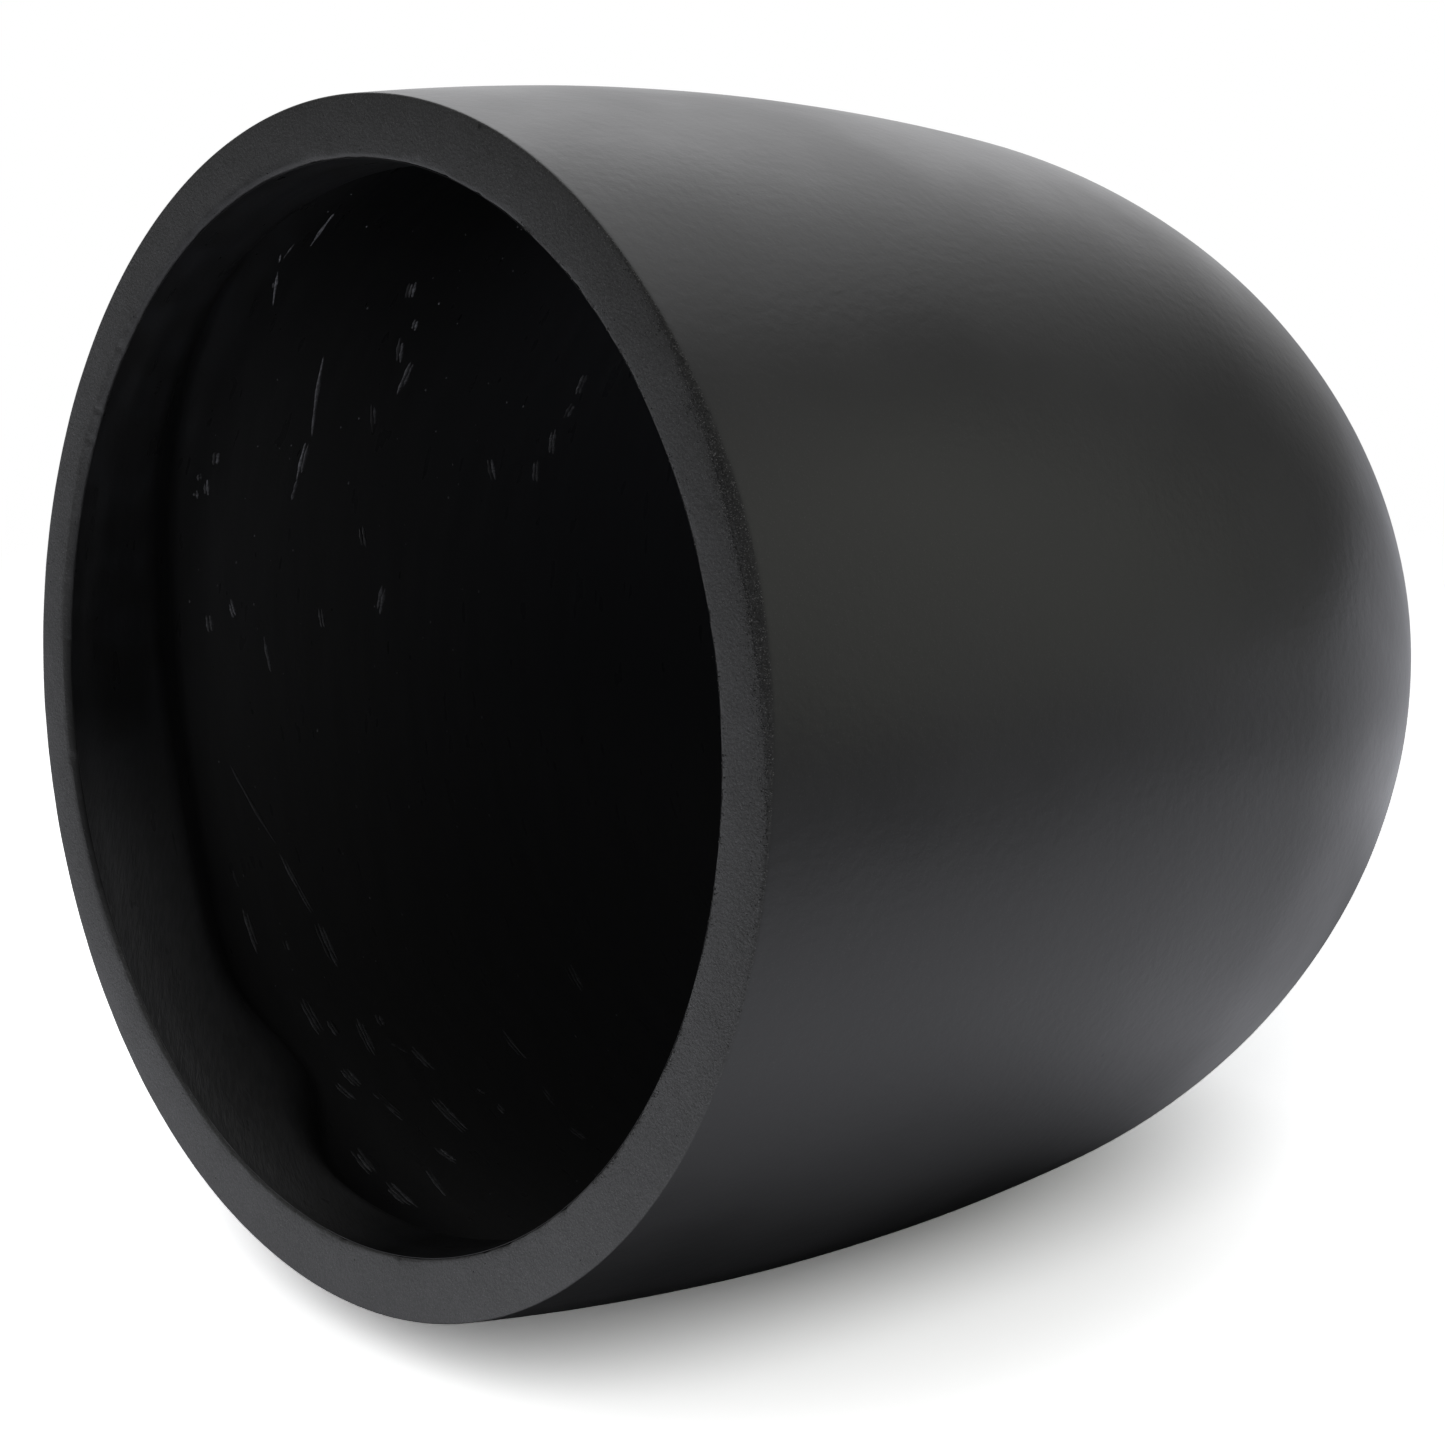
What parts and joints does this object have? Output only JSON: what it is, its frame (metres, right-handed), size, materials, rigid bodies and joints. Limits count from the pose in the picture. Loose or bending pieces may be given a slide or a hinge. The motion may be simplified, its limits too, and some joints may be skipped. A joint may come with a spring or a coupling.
{
  "type": "planter pot",
  "caption": "Bullet-shaped charcoal planter pot with a thick flat rim, a returned collar inside the mouth, a black sealed inside and a rubber plug in its drain hole.",
  "frame": {"origin": "centre of the base's underside, on the pot's axis, where the upright pot meets the ground", "axes": "+Z along the pot's axis from the base up to the mouth; the pot is a body of revolution, so +X and +Y may point anywhere in the ground plane"},
  "size_m": [0.4058, 0.4058, 0.406],
  "materials": {
    "cast_concrete": "satin",
    "black_sealant": "gloss",
    "black_rubber": "matte"
  },
  "bodies": {
    "planter": {"planter_shell": "cast_concrete", "sealant_lining": "black_sealant"},
    "plug": {"drain_plug": "black_rubber"}
  },
  "joints": [
    {"name": "plug_lift", "type": "slide", "parent": "planter", "child": "plug", "axis": [0, 0, 1], "range_m": [0, 0.42]}
  ]
}
